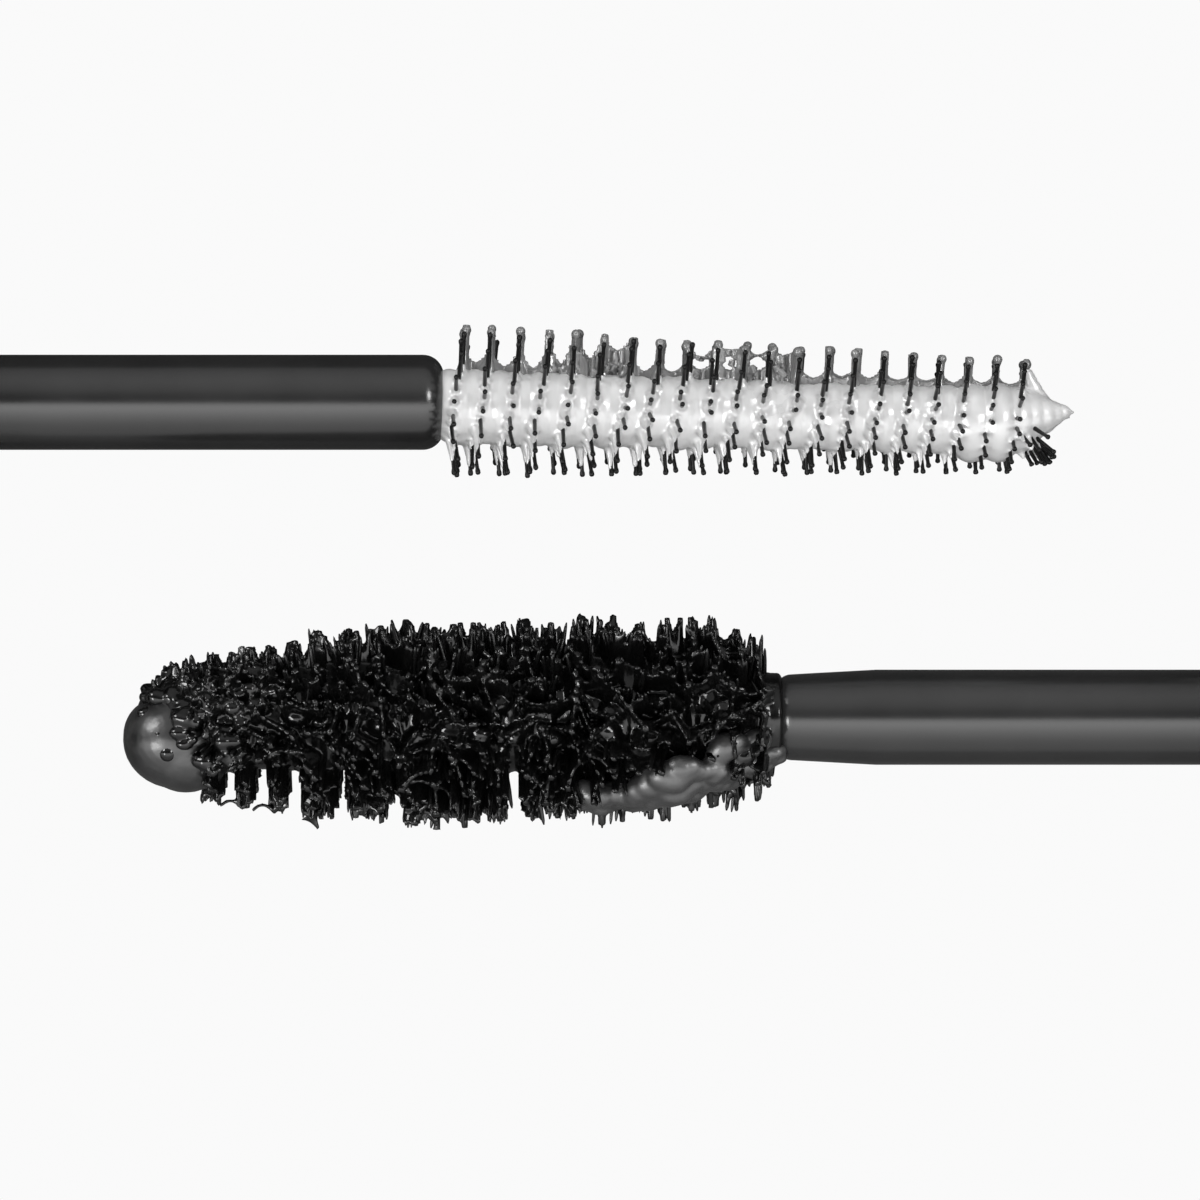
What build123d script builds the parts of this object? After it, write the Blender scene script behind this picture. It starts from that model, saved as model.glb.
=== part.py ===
from build123d import *
import math
import os
from dataclasses import dataclass

# Dual-ended mascara tube, drawn open: a primer half and a mascara half, uncoupled at the middle
# and laid side by side, each with its applicator wand drawn out in line with its own bottle.
# Millimetres, +Z up.  The halves lie along X on the plane z = 0; the primer wand points to +X
# and the mascara wand to -X.  Origin: middle of the bounding box, on the plane it lies on.

os.makedirs("parts", exist_ok=True)

# ---- driving dimensions: casing and cap -------------------------------------------------------
CASE_R = 6.6            # outside radius of casings and caps
CASE_WALL = 0.8
LANE_GAP = 0.5          # free gap between the two halves lying side by side
CAP_LENGTH = 30.0       # cap shell, without its end disc
CAP_END_LIP = 1.4       # visible thickness of the cap's end disc
CAP_END_BOSS = 2.5      # how far the end disc plugs into the shell
CAP_END_WALL = 1.0
EDGE_ROUND = 0.6        # rounding of outside edges
RIM_ROUND = 0.2

# ---- driving dimensions: bottle ---------------------------------------------------------------
BOTTLE_WALL = 0.9
BOTTLE_FLOOR = 1.2
NECK_LENGTH = 12.0
NECK_WALL = 0.6         # between thread turns
BOTTLE_SHOULDER = 1.2   # length of the cone inside the bottle's shoulder
THREAD_HEIGHT = 0.5
THREAD_PITCH = 2.6
THREAD_TURNS = 1.5
THREAD_FOOT = 1.1       # width of a thread turn where it leaves the neck
THREAD_LEAD_IN = 2.6    # from the mouth to the first thread turn
RING_THICKNESS = 1.0    # metal shoulder ring

# ---- driving dimensions: wiper, gasket, stem --------------------------------------------------
WIPER_FLANGE = 0.6
WIPER_LENGTH = 9.0
WIPER_WALL = 0.5
WIPER_LIP_LENGTH = 3.0
GASKET_THICKNESS = 0.9
GASKET_OVERHANG = 0.3   # gasket beyond the neck's outside
STEM_R = 2.07
STEM_LENGTH = 21.2      # from the cap's rim to the brush
STEM_SEAT = 7.5         # length of stem held in the cap liner
STEM_BORE_DEPTH = 6.0
LINER_WALL = 0.6
LINER_WEB = 1.5         # solid end of the liner behind the stem seat
LINER_SETBACK = 0.4     # liner's front face behind the cap's rim
LINER_RIDGE = 0.5       # how far the liner's ridges stand in from its bore
LINER_RIDGE_TURNS = (0.5, 1.5)      # where the ridges lie, in turns from the thread's start
STEM_TAPER = 4.4        # length over which a stem narrows to its tip
STEM_ROUND = 0.9        # largest rounding of a stem's tip

# ---- driving dimensions: centre coupling ------------------------------------------------------
SPIGOT_R = 4.0
SPIGOT_LENGTH = 5.0
SOCKET_EXTRA_DEPTH = 0.5
SOCKET_FLOOR = 1.2
PLUG_BOSS = 1.6
PLUG_FLANGE = 1.0
BAND_WIDTH = 2.0

# ---- named clearances -------------------------------------------------------------------------
SLIP = 0.05             # radial, pieces fixed one in another
RUNNING = 0.05          # radial, pieces that move one in another
GLUE_LINE = 0.1         # radial, bottle in casing
CLOSED_GAP = 0.1        # cap rim to shoulder ring, and gasket to wiper, when closed
TIP_CLEAR = 1.5         # brush tip to bottle floor, when closed
MOUTH_CLEAR = 6.7       # brush tip to bottle mouth, when drawn out
FILL_CLEAR = 0.3        # formula to bottle floor
SEAT_GAP = 0.02         # gasket off the liner's face
THREAD_ROOT = 0.1       # how deep a thread turn is sunk into its wall

# ---- what the bottles hold --------------------------------------------------------------------
FORMULA_HEADROOM = 4.0  # from the bottle's shoulder to the formula
FORMULA_CORE_R = 3.0    # open core that the brush keeps in it

# ---- brushes ----------------------------------------------------------------------------------
PRIMER_RINGS = 21
PRIMER_PITCH = 1.218
PRIMER_SPIKES = 12
PRIMER_SPIKE_R = (3.35, 2.5)    # reach of the spikes at the first and the last ring
PRIMER_CORE_R = (1.15, 0.75)
PRIMER_COAT_R = 1.85
PRIMER_RING_WIDTH = 0.4
PRIMER_DROOP = -1.5             # degrees, sideways bend of the brush from the stem's axis
SHANK_R = 0.85
PRIMER_FIRST_RING = 0.52        # from the stem to the first ring of spikes
PRIMER_TIP_OVERRUN = 0.6        # core beyond the last ring
PRIMER_STRAND_R = 0.08          # free end of the drawn-out strand
PRIMER_DROP = ((3.8, 1.55), (2.2, 1.1), (1.3, 0.3))     # (back from the tip, radius)

MASCARA_RINGS = 21
MASCARA_PITCH = 1.16
MASCARA_SPIKES = 16
MASCARA_RING_WIDTH = 0.2
MASCARA_DROOP = 1.25
MASCARA_COAT_R = 3.1
MASCARA_COLLAR_R = 2.0
MASCARA_DROP_R = 2.75
WIRE_R = 0.38
WIRE_LAY = 4.0                  # length of one turn of the twisted wire
WIRE_NIP = 0.92                 # strand's distance from the axis, as a share of its radius
WIRE_SHORT = 3.5                # wire's end behind the tip of the drop
FIBRE_ROOT_R = 1.0
FIBRE_REACH = 4.5
MASCARA_FIRST_RING = 0.8
BULLET_SHOULDER = 3.4           # length over which the fibres grow from the stem
BULLET_SHOULDER_START = 0.62    # share of their reach that they start with
BULLET_BODY = 18.5              # from the stem to where the nose starts
BULLET_NOSE_POWER = 1.7

# ---- derived ----------------------------------------------------------------------------------
AXIS_Z = CASE_R
LANE_Y = CASE_R + LANE_GAP / 2
CASE_BORE_R = CASE_R - CASE_WALL
BOTTLE_R = CASE_BORE_R - GLUE_LINE
BOTTLE_BORE_R = BOTTLE_R - BOTTLE_WALL
LINER_R = CASE_BORE_R - SLIP
LINER_BORE_R = LINER_R - LINER_WALL
LINER_RIDGE_R = LINER_BORE_R - LINER_RIDGE
THREAD_R = LINER_RIDGE_R - RUNNING
NECK_R = THREAD_R - THREAD_HEIGHT
NECK_BORE_R = NECK_R - NECK_WALL
WIPER_R = NECK_BORE_R - SLIP
STEM_BORE_R = SHANK_R + SLIP
SOCKET_R = SPIGOT_R + RUNNING
BRUSH_GAP = 0.1         # brush pieces off the stem's end face
HOLD = 0.02             # how far rings and coats are sunk into their core


@dataclass
class Side:
    """Stations along one half's axis, with the wand pointing to +X and the bottle beyond it."""

    name: str
    brush_start: float      # where the stem ends
    brush_end: float        # free tip of the product on the brush
    stem_tip_r: float       # stem radius at the brush
    turn: float             # heading of the wand in the row frame, degrees
    lane: float             # side of the row the half lies on, +1 or -1

    @property
    def rim(self):
        return self.brush_start - STEM_LENGTH

    @property
    def mouth(self):
        return self.brush_end + MOUTH_CLEAR

    @property
    def shoulder(self):
        return self.mouth + NECK_LENGTH

    @property
    def travel(self):
        return self.shoulder - CLOSED_GAP - self.rim

    @property
    def seal_face(self):
        """Face of the liner that the gasket sits on, with the wand drawn out."""
        return self.mouth - WIPER_FLANGE - CLOSED_GAP - GASKET_THICKNESS - self.travel

    @property
    def bottle_floor(self):
        return self.brush_end + self.travel + TIP_CLEAR

    @property
    def bottle_end(self):
        return self.bottle_floor + BOTTLE_FLOOR


PRIMER = Side("primer", -6.8, 20.8, STEM_R, 0, 1)
MASCARA = Side("mascara", -7.6, 20.7, 1.83, 180, -1)


def half_end(side):
    """End of the half at the centre coupling, along its own axis."""
    if side is PRIMER:
        return side.bottle_end + PLUG_BOSS + BAND_WIDTH + PLUG_FLANGE + SPIGOT_LENGTH
    return side.bottle_end + SOCKET_FLOOR + SPIGOT_LENGTH + SOCKET_EXTRA_DEPTH + PLUG_FLANGE


# The row's origin is midway between the two far ends.
ROW_SHIFT = (half_end(MASCARA) - half_end(PRIMER)) / 2


# ---- helpers ----------------------------------------------------------------------------------
def turned(*points):
    """A solid turned about X from an outline of (x, radius) points."""
    return revolve(make_face(Polyline(*points, close=True)), Axis.X, 360)


def tube(start, end, outer, inner):
    return turned((start, inner), (end, inner), (end, outer), (start, outer))


def rod(start, end, outer):
    return turned((start, 0), (end, 0), (end, outer), (start, outer))


def circle_edges(solid, x, radius):
    """The circular edges of a turned solid at a station and radius."""
    found = solid.edges().filter_by(GeomType.CIRCLE)
    return [e for e in found if abs(e.arc_center.X - x) < 1e-3 and abs(e.radius - radius) < 1e-3]


def rounded(solid, x, radius, size):
    return fillet(circle_edges(solid, x, radius), size)


def thread(start, radius):
    """A helical thread ridge standing out from a neck."""
    foot = THREAD_FOOT / 2
    crest = foot * 0.35
    path = Helix(THREAD_PITCH, THREAD_PITCH * THREAD_TURNS, radius)
    outline = Polyline(
        (-THREAD_ROOT, -foot), (THREAD_HEIGHT, -crest), (THREAD_HEIGHT, crest),
        (-THREAD_ROOT, foot), close=True,
    )
    section = Plane(origin=path @ 0, x_dir=(1, 0, 0), z_dir=path % 0) * make_face(outline)
    ridge = sweep(section, path, is_frenet=True)
    return Pos(start, 0, 0) * (Rot(0, 90, 0) * ridge)


def spike_ring(x, reach, root, spikes, width, phase):
    """One flat ring of pointed spikes round the brush core."""
    points = []
    for i in range(spikes):
        middle = 2 * math.pi * (i + phase) / spikes
        for radius, offset in ((root, -0.5), (reach, 0)):
            angle = middle + offset * 2 * math.pi / spikes
            points.append((radius * math.cos(angle), radius * math.sin(angle)))
    face = Plane(origin=(x, 0, 0), x_dir=(0, 1, 0), z_dir=(1, 0, 0)) * make_face(
        Polyline(*points, close=True)
    )
    return extrude(face, width)


def mix(ends, t):
    return ends[0] + (ends[1] - ends[0]) * t


def bent(side, solid, degrees):
    """Turn a brush sideways about the end of its stem."""
    pivot = Pos(side.brush_start, 0, 0)
    return pivot * Rot(0, 0, degrees) * Pos(-side.brush_start, 0, 0) * solid


# ---- pieces of a half tube --------------------------------------------------------------------
def bottle(side):
    body = turned(
        (side.mouth, NECK_BORE_R),
        (side.shoulder + RING_THICKNESS, NECK_BORE_R),
        (side.shoulder + RING_THICKNESS + BOTTLE_SHOULDER, BOTTLE_BORE_R),
        (side.bottle_floor, BOTTLE_BORE_R),
        (side.bottle_floor, 0),
        (side.bottle_end, 0),
        (side.bottle_end, BOTTLE_R),
        (side.shoulder + RING_THICKNESS, BOTTLE_R),
        (side.shoulder + RING_THICKNESS, NECK_R),
        (side.mouth, NECK_R),
    )
    return body + thread(side.mouth + THREAD_LEAD_IN, NECK_R)


def casing_end(side):
    if side is PRIMER:
        return side.bottle_end + PLUG_BOSS
    return half_end(side) - PLUG_FLANGE


def casing(side):
    front = side.shoulder + RING_THICKNESS
    return tube(front, casing_end(side), CASE_R, CASE_BORE_R)


def shoulder_ring(side):
    ring = tube(side.shoulder, side.shoulder + RING_THICKNESS, CASE_R, NECK_R + SLIP)
    return rounded(ring, side.shoulder, CASE_R, RIM_ROUND)


def wiper(side):
    """Flanged sleeve pushed into the neck, with a tapered lip round the stem."""
    flange_front = side.mouth - WIPER_FLANGE
    lip_end = side.mouth + WIPER_LENGTH
    lip_start = lip_end - WIPER_LIP_LENGTH
    lip_r = STEM_R + RUNNING
    return turned(
        (flange_front, WIPER_R - WIPER_WALL),
        (lip_start, WIPER_R - WIPER_WALL),
        (lip_end, lip_r),
        (lip_end, lip_r + WIPER_WALL * 0.6),
        (lip_start, WIPER_R),
        (side.mouth, WIPER_R),
        (side.mouth, NECK_R),
        (flange_front, NECK_R),
    )


def formula(side):
    """What the bottle holds, with the open core that the brush keeps in it."""
    start = side.shoulder + RING_THICKNESS + FORMULA_HEADROOM
    return tube(start, side.bottle_floor - FILL_CLEAR, BOTTLE_BORE_R - SLIP, FORMULA_CORE_R)


def base_plug():
    """Closes the primer half and carries the spigot of the centre coupling."""
    start = PRIMER.bottle_end
    flange = start + PLUG_BOSS + BAND_WIDTH
    end = flange + PLUG_FLANGE + SPIGOT_LENGTH
    inner = CASE_BORE_R - SLIP
    plug = turned(
        (start, 0), (end, 0), (end, SPIGOT_R), (flange + PLUG_FLANGE, SPIGOT_R),
        (flange + PLUG_FLANGE, CASE_R), (flange, CASE_R), (flange, inner), (start, inner),
    )
    return rounded(plug, end, SPIGOT_R, EDGE_ROUND)


def centre_band():
    start = PRIMER.bottle_end + PLUG_BOSS
    return tube(start, start + BAND_WIDTH, CASE_R, CASE_BORE_R)


def base_socket():
    """Closes the mascara half and carries the socket of the centre coupling."""
    start = MASCARA.bottle_end
    end = half_end(MASCARA)
    bore_floor = start + SOCKET_FLOOR
    inner = CASE_BORE_R - SLIP
    cup = turned(
        (start, 0), (bore_floor, 0), (bore_floor, SOCKET_R), (end, SOCKET_R),
        (end, CASE_R), (end - PLUG_FLANGE, CASE_R), (end - PLUG_FLANGE, inner), (start, inner),
    )
    return rounded(cup, end, CASE_R, RIM_ROUND)


# ---- pieces of a wand -------------------------------------------------------------------------
def gasket(side):
    start = side.seal_face + SEAT_GAP
    outer = NECK_R + GASKET_OVERHANG
    return tube(start, side.seal_face + GASKET_THICKNESS, outer, STEM_R + RUNNING)


def cap_shell(side):
    shell = tube(side.rim - CAP_LENGTH, side.rim, CASE_R, CASE_BORE_R)
    return rounded(shell, side.rim, CASE_R, RIM_ROUND)


def cap_liner(side):
    """Threaded insert of the cap, with the seat that holds the stem."""
    front = side.rim - LINER_SETBACK
    seat_end = side.seal_face - STEM_SEAT
    back = seat_end - LINER_WEB
    body = turned(
        (back, 0), (seat_end, 0), (seat_end, STEM_R + SLIP), (side.seal_face, STEM_R + SLIP),
        (side.seal_face, LINER_BORE_R), (front, LINER_BORE_R), (front, LINER_R), (back, LINER_R),
    )
    first = side.mouth + THREAD_LEAD_IN - side.travel
    ridges = []
    for turns in LINER_RIDGE_TURNS:
        x = first + THREAD_PITCH * turns
        ridges.append(tube(x, x + LINER_RIDGE, LINER_BORE_R + THREAD_ROOT, LINER_RIDGE_R))
    return body + ridges


def cap_end(side):
    """Disc that closes the cap, plugged into the shell."""
    back = side.rim - CAP_LENGTH
    outer = CASE_BORE_R - SLIP
    disc = turned(
        (back - CAP_END_LIP, 0), (back, 0), (back, outer - CAP_END_WALL),
        (back + CAP_END_BOSS, outer - CAP_END_WALL), (back + CAP_END_BOSS, outer),
        (back, outer), (back, CASE_R), (back - CAP_END_LIP, CASE_R),
    )
    return rounded(disc, back - CAP_END_LIP, CASE_R, EDGE_ROUND)


def stem(side):
    start = side.seal_face - STEM_SEAT
    taper = side.brush_start - STEM_TAPER
    bore = side.brush_start - STEM_BORE_DEPTH
    body = turned(
        (start, 0), (bore, 0), (bore, STEM_BORE_R), (side.brush_start, STEM_BORE_R),
        (side.brush_start, side.stem_tip_r), (taper, STEM_R), (start, STEM_R),
    )
    room = 0.8 * (side.stem_tip_r - STEM_BORE_R)
    return rounded(body, side.brush_start, side.stem_tip_r, min(STEM_ROUND, room))


def primer_brush():
    """Moulded core with rings of pointed spikes, every other ring turned half a pitch."""
    start = PRIMER.brush_start
    first = start + PRIMER_FIRST_RING
    last = first + PRIMER_PITCH * (PRIMER_RINGS - 1) + PRIMER_TIP_OVERRUN
    core = turned(
        (start + BRUSH_GAP, 0), (last, 0), (last, PRIMER_CORE_R[1]),
        (start + BRUSH_GAP, PRIMER_CORE_R[0]),
    )
    rings = []
    for i in range(PRIMER_RINGS):
        t = i / (PRIMER_RINGS - 1)
        x = first + PRIMER_PITCH * i
        root = mix(PRIMER_CORE_R, t) - HOLD
        reach = mix(PRIMER_SPIKE_R, t)
        rings.append(
            spike_ring(x, reach, root, PRIMER_SPIKES, PRIMER_RING_WIDTH, 0.5 * (i % 2))
        )
    shank = rod(start - STEM_BORE_DEPTH, start + BRUSH_GAP * 4, SHANK_R)
    return shank + bent(PRIMER, core + rings, PRIMER_DROOP)


def primer_coat():
    """Primer left on the brush, with the drop and the thin strand at its tip."""
    start = PRIMER.brush_start + BRUSH_GAP
    tip = PRIMER.brush_end
    inner = PRIMER_CORE_R[0] + HOLD
    drop = [(tip - back, radius) for back, radius in PRIMER_DROP]
    coat = turned(
        (start, inner), (drop[0][0], inner), (drop[0][0], 0), (tip, 0), (tip, PRIMER_STRAND_R),
        *reversed(drop), (start, PRIMER_COAT_R),
    )
    return bent(PRIMER, coat, PRIMER_DROOP)


def mascara_wire():
    """Two strands of wire twisted together and held in the stem's end."""
    start = MASCARA.brush_start - STEM_BORE_DEPTH
    length = MASCARA.brush_end - WIRE_SHORT - start
    offset = WIRE_R * WIRE_NIP
    lobes = Pos(offset, 0) * Circle(WIRE_R) + Pos(-offset, 0) * Circle(WIRE_R)
    twist = 360 * length / WIRE_LAY
    wire = Solid.extrude_linear_with_rotation(lobes.faces()[0], (0, 0, 0), (0, 0, length), twist)
    return bent(MASCARA, Pos(start, 0, 0) * (Rot(0, 90, 0) * wire), MASCARA_DROOP)


def fibre_reach(s, length):
    """Reach of the fibres of the bullet-shaped brush at distance s from the stem."""
    if s < BULLET_SHOULDER:
        rise = math.sin(math.pi / 2 * s / BULLET_SHOULDER)
        return FIBRE_REACH * (BULLET_SHOULDER_START + (1 - BULLET_SHOULDER_START) * rise)
    if s < BULLET_BODY:
        return FIBRE_REACH
    t = (s - BULLET_BODY) / (length - BULLET_BODY)
    return FIBRE_REACH * math.sqrt(max(0.0, 1 - t ** BULLET_NOSE_POWER))


def mascara_bristles():
    """Rings of fibres standing out of the twisted wire, in the brush's bullet shape."""
    start = MASCARA.brush_start
    length = MASCARA.brush_end - start
    hub_r = WIRE_R * (1 + WIRE_NIP) + SLIP
    last = start + MASCARA_FIRST_RING + MASCARA_PITCH * MASCARA_RINGS
    hub = tube(start + BRUSH_GAP * 2, last, FIBRE_ROOT_R, hub_r)
    rings = []
    for i in range(MASCARA_RINGS):
        s = MASCARA_FIRST_RING + MASCARA_PITCH * i
        ring = spike_ring(
            start + s, fibre_reach(s, length), FIBRE_ROOT_R - HOLD, MASCARA_SPIKES,
            MASCARA_RING_WIDTH, 0.5 * (i % 2),
        )
        rings.append(ring - rod(start + s - 1, start + s + 1, hub_r))
    return bent(MASCARA, hub + rings, MASCARA_DROOP)


def mascara_coat():
    """Mascara left on the fibres, from the stem's end to the big drop at the tip."""
    start = MASCARA.brush_start + BRUSH_GAP
    tip = MASCARA.brush_end
    core_end = start + MASCARA_FIRST_RING + MASCARA_PITCH * MASCARA_RINGS
    drop = tip - MASCARA_DROP_R
    outline = make_face(
        [
            Polyline(
                (tip, 0), (core_end, 0), (core_end, FIBRE_ROOT_R), (start, FIBRE_ROOT_R),
                (start, MASCARA_COLLAR_R), (start + BULLET_SHOULDER, MASCARA_COAT_R),
                (start + BULLET_BODY, MASCARA_COAT_R), (drop, MASCARA_DROP_R),
            ),
            CenterArc((drop, 0), MASCARA_DROP_R, 0, 90),
        ]
    )
    return bent(MASCARA, revolve(outline, Axis.X, 360), MASCARA_DROOP)


# ---- write every piece as its own node --------------------------------------------------------
def placed(side, solid):
    """From a half's own axis to the row frame."""
    return Pos(ROW_SHIFT, side.lane * LANE_Y, AXIS_Z) * Rot(0, 0, side.turn) * solid


def pieces():
    """Every node's name, side and solid."""
    found = []
    for side in (PRIMER, MASCARA):
        for make in (
            bottle, casing, shoulder_ring, wiper, formula, gasket,
            cap_shell, cap_liner, cap_end, stem,
        ):
            found.append((f"{side.name}_{make.__name__}", side, make(side)))
    for make in (base_plug, centre_band):
        found.append((f"primer_{make.__name__}", PRIMER, make()))
    found.append(("mascara_base_socket", MASCARA, base_socket()))
    for make in (primer_brush, primer_coat):
        found.append((make.__name__, PRIMER, make()))
    for make in (mascara_wire, mascara_bristles, mascara_coat):
        found.append((make.__name__, MASCARA, make()))
    return found


for node, side, solid in pieces():
    export_step(placed(side, solid), f"parts/{node}.step")

for side in (PRIMER, MASCARA):
    print(f"{side.name}: draw {side.travel:.2f} mm, far end {half_end(side):.2f} mm from the middle")
print(f"spigot r {SPIGOT_R}, socket r {SOCKET_R}, row shift {ROW_SHIFT:.3f} mm")
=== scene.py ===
# %% [markdown]
# # A dual-ended mascara tube, drawn open
# The tube holds a lash primer in one half and mascara in the other. It lies uncoupled, its two
# halves side by side and heads to tails, and each wand is drawn out in line with its own bottle.
# The CAD frame gives every place and size; what is made here are the looks: the moulded spikes and
# the nylon fibres, the wet primer and the wet mascara on them, the finishes, and the light.

# %% The frame and the tools
import math
import random

import bmesh
import bpy
import numpy as np
from mathutils import Matrix, Vector


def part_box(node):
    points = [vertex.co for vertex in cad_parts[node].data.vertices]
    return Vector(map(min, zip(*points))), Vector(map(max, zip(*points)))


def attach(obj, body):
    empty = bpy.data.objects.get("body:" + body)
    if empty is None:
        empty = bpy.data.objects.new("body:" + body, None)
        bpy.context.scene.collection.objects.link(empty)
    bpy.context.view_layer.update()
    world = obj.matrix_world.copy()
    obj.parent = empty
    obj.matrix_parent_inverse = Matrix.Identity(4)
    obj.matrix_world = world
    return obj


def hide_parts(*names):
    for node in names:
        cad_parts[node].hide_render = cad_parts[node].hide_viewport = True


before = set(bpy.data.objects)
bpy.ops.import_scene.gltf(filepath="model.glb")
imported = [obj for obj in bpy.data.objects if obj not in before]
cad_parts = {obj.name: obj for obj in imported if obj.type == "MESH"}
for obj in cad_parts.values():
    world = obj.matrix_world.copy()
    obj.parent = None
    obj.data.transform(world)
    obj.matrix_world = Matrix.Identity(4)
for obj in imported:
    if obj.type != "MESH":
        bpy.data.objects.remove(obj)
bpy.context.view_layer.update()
MM = 0.001

# %% [markdown]
# Each wand has an axis of its own. Everything on a brush is placed by how far along the brush it
# is, how far out from the axis, and round which side. One small frame per wand turns those three
# numbers into a place, so the primer brush and the mascara brush share all the helpers below.
# Side 0 degrees faces up from the table, 90 the mascara lane's outer side (-Y), 270 the other.


# %% Wand axes
class Wand:
    """Where a brush starts, which way it points, and how to place things round it, in mm."""

    def __init__(self, stem, heading, droop):
        low, high = (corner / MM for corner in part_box(stem))
        self.start = Vector((high.x if heading > 0 else low.x, (low.y + high.y) / 2,
                             (low.z + high.z) / 2))
        angle = math.radians(droop)
        self.along = Vector((heading * math.cos(angle), -math.sin(angle), 0))
        self.across = Vector((-math.sin(angle) * heading, -math.cos(angle), 0))

    def out(self, side):
        """The way out from the axis at a side given in degrees."""
        a = math.radians(side)
        return Vector((0, 0, 1)) * math.cos(a) + self.across * math.sin(a)

    def at(self, s, r=0.0, side=0.0):
        """A place s along the brush and r out from its axis."""
        return self.start + self.along * s + self.out(side) * r


primer = Wand("primer_stem", 1, 1.5)
mascara = Wand("mascara_stem", -1, 1.25)
print("brushes start at x, mm:", round(primer.start.x, 2), round(mascara.start.x, 2))

# %% [markdown]
# The camera looks straight down on the two brushes, as for a page of a catalogue.
# A long lens keeps the two wands parallel and their sides unseen. The table is a plain pale sheet;
# it glows a little, like a light table, so the wands hardly shade it.

# %% Camera
VIEW_WIDTH = 52.2 * MM
VIEW_CENTRE_Y = -1.75 * MM
VIEW_SHIFT_X = -0.4  # from halfway between the two brushes' roots, in mm
LENS = 200
SENSOR = 36
camera_data = bpy.data.cameras.new("camera")
camera_data.lens = LENS
camera_data.sensor_width = SENSOR
camera = bpy.data.objects.new("camera", camera_data)
bpy.context.scene.collection.objects.link(camera)
middle_x = ((primer.start.x + mascara.start.x) / 2 + VIEW_SHIFT_X) * MM
camera.location = (middle_x, VIEW_CENTRE_Y, primer.start.z * MM + VIEW_WIDTH * LENS / SENSOR)
camera_data.clip_start = 0.01
camera_data.clip_end = 10
bpy.context.scene.camera = camera
print("camera height, mm:", round(camera.location.z / MM, 1))

# %% [markdown]
# The light is a tent of white cloth: one broad wall on the near side, bright by the camera and
# fading towards the table, and a dimmer wall on the far side, with a dark slit between them where
# the camera looks through. A round black stem shows that tent as long bands, which is what makes
# it read as satin plastic. It could be built from area lamps, but painted in the world's
# background it is smooth and costs no noise. The helpers come first: they wire small node trees.


# %% Small node helpers
def wire(tree, source, target):
    tree.links.new(source, target)


def node(tree, kind, **settings):
    """A node of the given kind, with its properties set and its inputs given by name or number."""
    made = tree.nodes.new(kind)
    for key, value in settings.items():
        if hasattr(made, key):
            setattr(made, key, value)
        else:
            made.inputs[key.replace("_", " ")].default_value = value
    return made


def math_node(tree, operation, a, b=None, c=None):
    """A Math node fed with sockets or numbers, giving its output socket."""
    made = tree.nodes.new("ShaderNodeMath")
    made.operation = operation
    for slot, value in zip(made.inputs, (a, b, c)):
        if value is None:
            continue
        if isinstance(value, (int, float)):
            slot.default_value = value
        else:
            wire(tree, value, slot)
    return made.outputs[0]


def ramp(tree, source, stops):
    """A colour ramp of grey stops, (place, grey), giving its colour socket."""
    made = tree.nodes.new("ShaderNodeValToRGB")
    band = made.color_ramp
    while len(band.elements) < len(stops):
        band.elements.new(0.5)
    for element, (place, grey) in zip(band.elements, stops):
        element.position = place
        element.color = (grey, grey, grey, 1)
    wire(tree, source, made.inputs[0])
    return made.outputs[0]


# %% The light tent
TENT = (  # (angle from straight up, towards -Y, in degrees; radiance)
    (-90, 0.45), (-80, 0.6), (-52, 1.0), (-30, 0.8), (-16, 0.3), (-8, 0.12), (2, 0.1), (6, 3.6),
    (16, 4.0), (35, 2.5), (57, 1.4), (90, 0.8),
)
TENT_TOP = 4.0
world = bpy.data.worlds.new("tent")
world.use_nodes = True
bpy.context.scene.world = world
tree = world.node_tree
tree.nodes.clear()
direction = node(tree, "ShaderNodeTexCoord")
parts = node(tree, "ShaderNodeSeparateXYZ")
wire(tree, direction.outputs["Generated"], parts.inputs[0])
toward = math_node(tree, "MULTIPLY", parts.outputs["Y"], -1.0)
angle = math_node(tree, "ARCTAN2", toward, parts.outputs["Z"])
place = math_node(tree, "MULTIPLY_ADD", angle, 1 / math.pi, 0.5)
wall = ramp(tree, place, [((a + 90) / 180, value / TENT_TOP) for a, value in TENT])
background = node(tree, "ShaderNodeBackground", Strength=TENT_TOP)
world_out = node(tree, "ShaderNodeOutputWorld")
wire(tree, wall, background.inputs["Color"])
wire(tree, background.outputs[0], world_out.inputs["Surface"])

bpy.context.scene.view_settings.view_transform = "Standard"
print("tent stops:", len(TENT))

# %% [markdown]
# The table is a light table: a plain pale sheet just under the object. The camera sees it glow
# evenly. What the wands get from it is dimmer and fades towards the far side, to fill their
# undersides softly. One material does both, by asking the Light Path node what kind of ray looks.

# %% The table
TABLE_WHITE = 0.955
TABLE_SIZE = 1.6
TABLE_DROP = 0.0001
TABLE_FADE = -8.0  # per metre towards +Y
bpy.ops.mesh.primitive_plane_add(size=TABLE_SIZE, location=(0, 0, -TABLE_DROP))
table = bpy.context.object
table.name = "table"
surface = bpy.data.materials.new("table_sheet")
surface.use_nodes = True
tree = surface.node_tree
tree.nodes.clear()
table_out = node(tree, "ShaderNodeOutputMaterial")
glow = node(tree, "ShaderNodeEmission", Color=(1, 1, 1, 1), Strength=TABLE_WHITE)
sheet = node(tree, "ShaderNodeBsdfDiffuse", Color=(0.025, 0.025, 0.025, 1))
lit = node(tree, "ShaderNodeEmission", Strength=1.0)
seen = node(tree, "ShaderNodeLightPath")
mixed = node(tree, "ShaderNodeMixShader")
both = node(tree, "ShaderNodeAddShader")
spot = node(tree, "ShaderNodeTexCoord")
spot_parts = node(tree, "ShaderNodeSeparateXYZ")
wire(tree, spot.outputs["Object"], spot_parts.inputs[0])
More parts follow.
